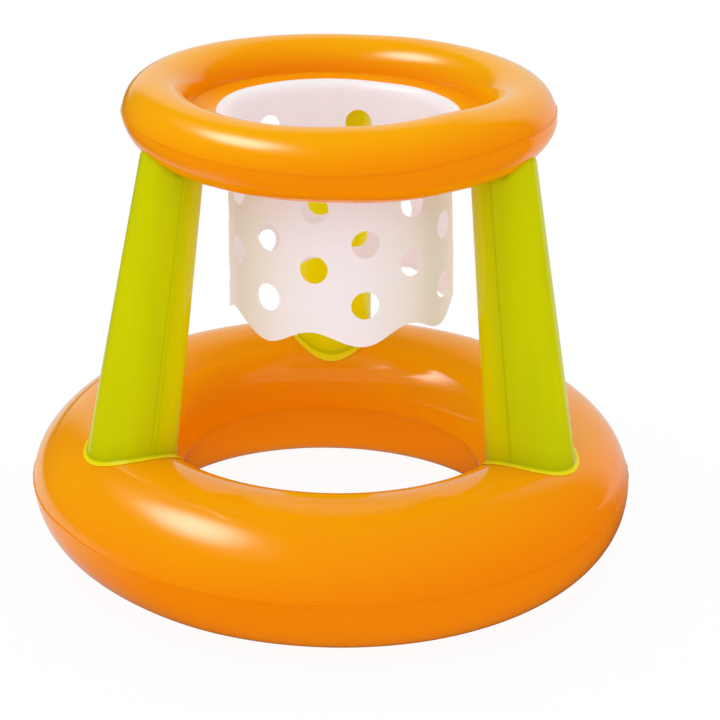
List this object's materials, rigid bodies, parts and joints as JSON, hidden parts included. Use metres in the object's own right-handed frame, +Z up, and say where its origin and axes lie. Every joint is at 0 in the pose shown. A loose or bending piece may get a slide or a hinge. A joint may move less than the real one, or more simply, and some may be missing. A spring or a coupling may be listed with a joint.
{
  "type": "floating basketball hoop",
  "caption": "Inflatable pool toy: a hoop ring with a punched film net, carried by tube legs on a wide floating ring.",
  "frame": {"origin": "on the floor, under the centre of the base ring", "axes": "+Z up through the hoop, -Y towards the side with the gap between the left and right legs, +X to the right seen from there"},
  "size_m": [0.67, 0.67, 0.534],
  "materials": {
    "orange_film": "glossy soft vinyl film, inflated, orange all through",
    "green_film": "glossy soft vinyl film, inflated, yellow-green all through",
    "milky_film": "milky translucent vinyl film with a soft sheen",
    "clear_moulding": "soft moulded vinyl, nearly clear"
  },
  "bodies": {
    "float": {"base_ring_upper_skin": "orange_film", "base_ring_lower_skin": "orange_film", "hoop_ring_upper_skin": "orange_film", "hoop_ring_lower_skin": "orange_film", "left_leg_sleeve": "green_film", "left_leg_foot_patch": "green_film", "right_leg_sleeve": "green_film", "right_leg_foot_patch": "green_film", "rear_leg_sleeve": "green_film", "rear_leg_foot_patch": "green_film", "net": "milky_film", "base_valve_collar": "clear_moulding", "hoop_valve_collar": "clear_moulding"},
    "base_stem": {"base_valve_stem": "clear_moulding", "base_valve_strap": "clear_moulding"},
    "base_plug": {"base_valve_plug": "clear_moulding"},
    "base_flap": {"base_valve_flap": "milky_film"},
    "hoop_stem": {"hoop_valve_stem": "clear_moulding", "hoop_valve_strap": "clear_moulding"},
    "hoop_plug": {"hoop_valve_plug": "clear_moulding"},
    "hoop_flap": {"hoop_valve_flap": "milky_film"}
  },
  "joints": [
    {"name": "base_stem_slide", "type": "slide", "parent": "float", "child": "base_stem", "axis": [0.4746, 0.7919, 0.3843], "range_m": [0, 0.01]},
    {"name": "base_plug_pull", "type": "slide", "parent": "base_stem", "child": "base_plug", "axis": [0.4746, 0.7919, 0.3843], "range_m": [0, 0.012]},
    {"name": "base_flap_hinge", "type": "hinge", "parent": "base_stem", "child": "base_flap", "pos_m": [0.1574, 0.27135, 0.10619], "axis": [0.1976, 0.3296, -0.9232], "range_deg": [0, 60], "stiffness_Nm_per_rad": 0.0002},
    {"name": "hoop_stem_slide", "type": "slide", "parent": "float", "child": "hoop_stem", "axis": [0.387, 0.7847, 0.4842], "range_m": [0, 0.01]},
    {"name": "hoop_plug_pull", "type": "slide", "parent": "hoop_stem", "child": "hoop_plug", "axis": [0.387, 0.7847, 0.4842], "range_m": [0, 0.012]},
    {"name": "hoop_flap_hinge", "type": "hinge", "parent": "hoop_stem", "child": "hoop_flap", "pos_m": [0.09039, 0.19346, 0.50856], "axis": [0.2141, 0.4342, -0.875], "range_deg": [0, 60], "stiffness_Nm_per_rad": 0.0002}
  ]
}
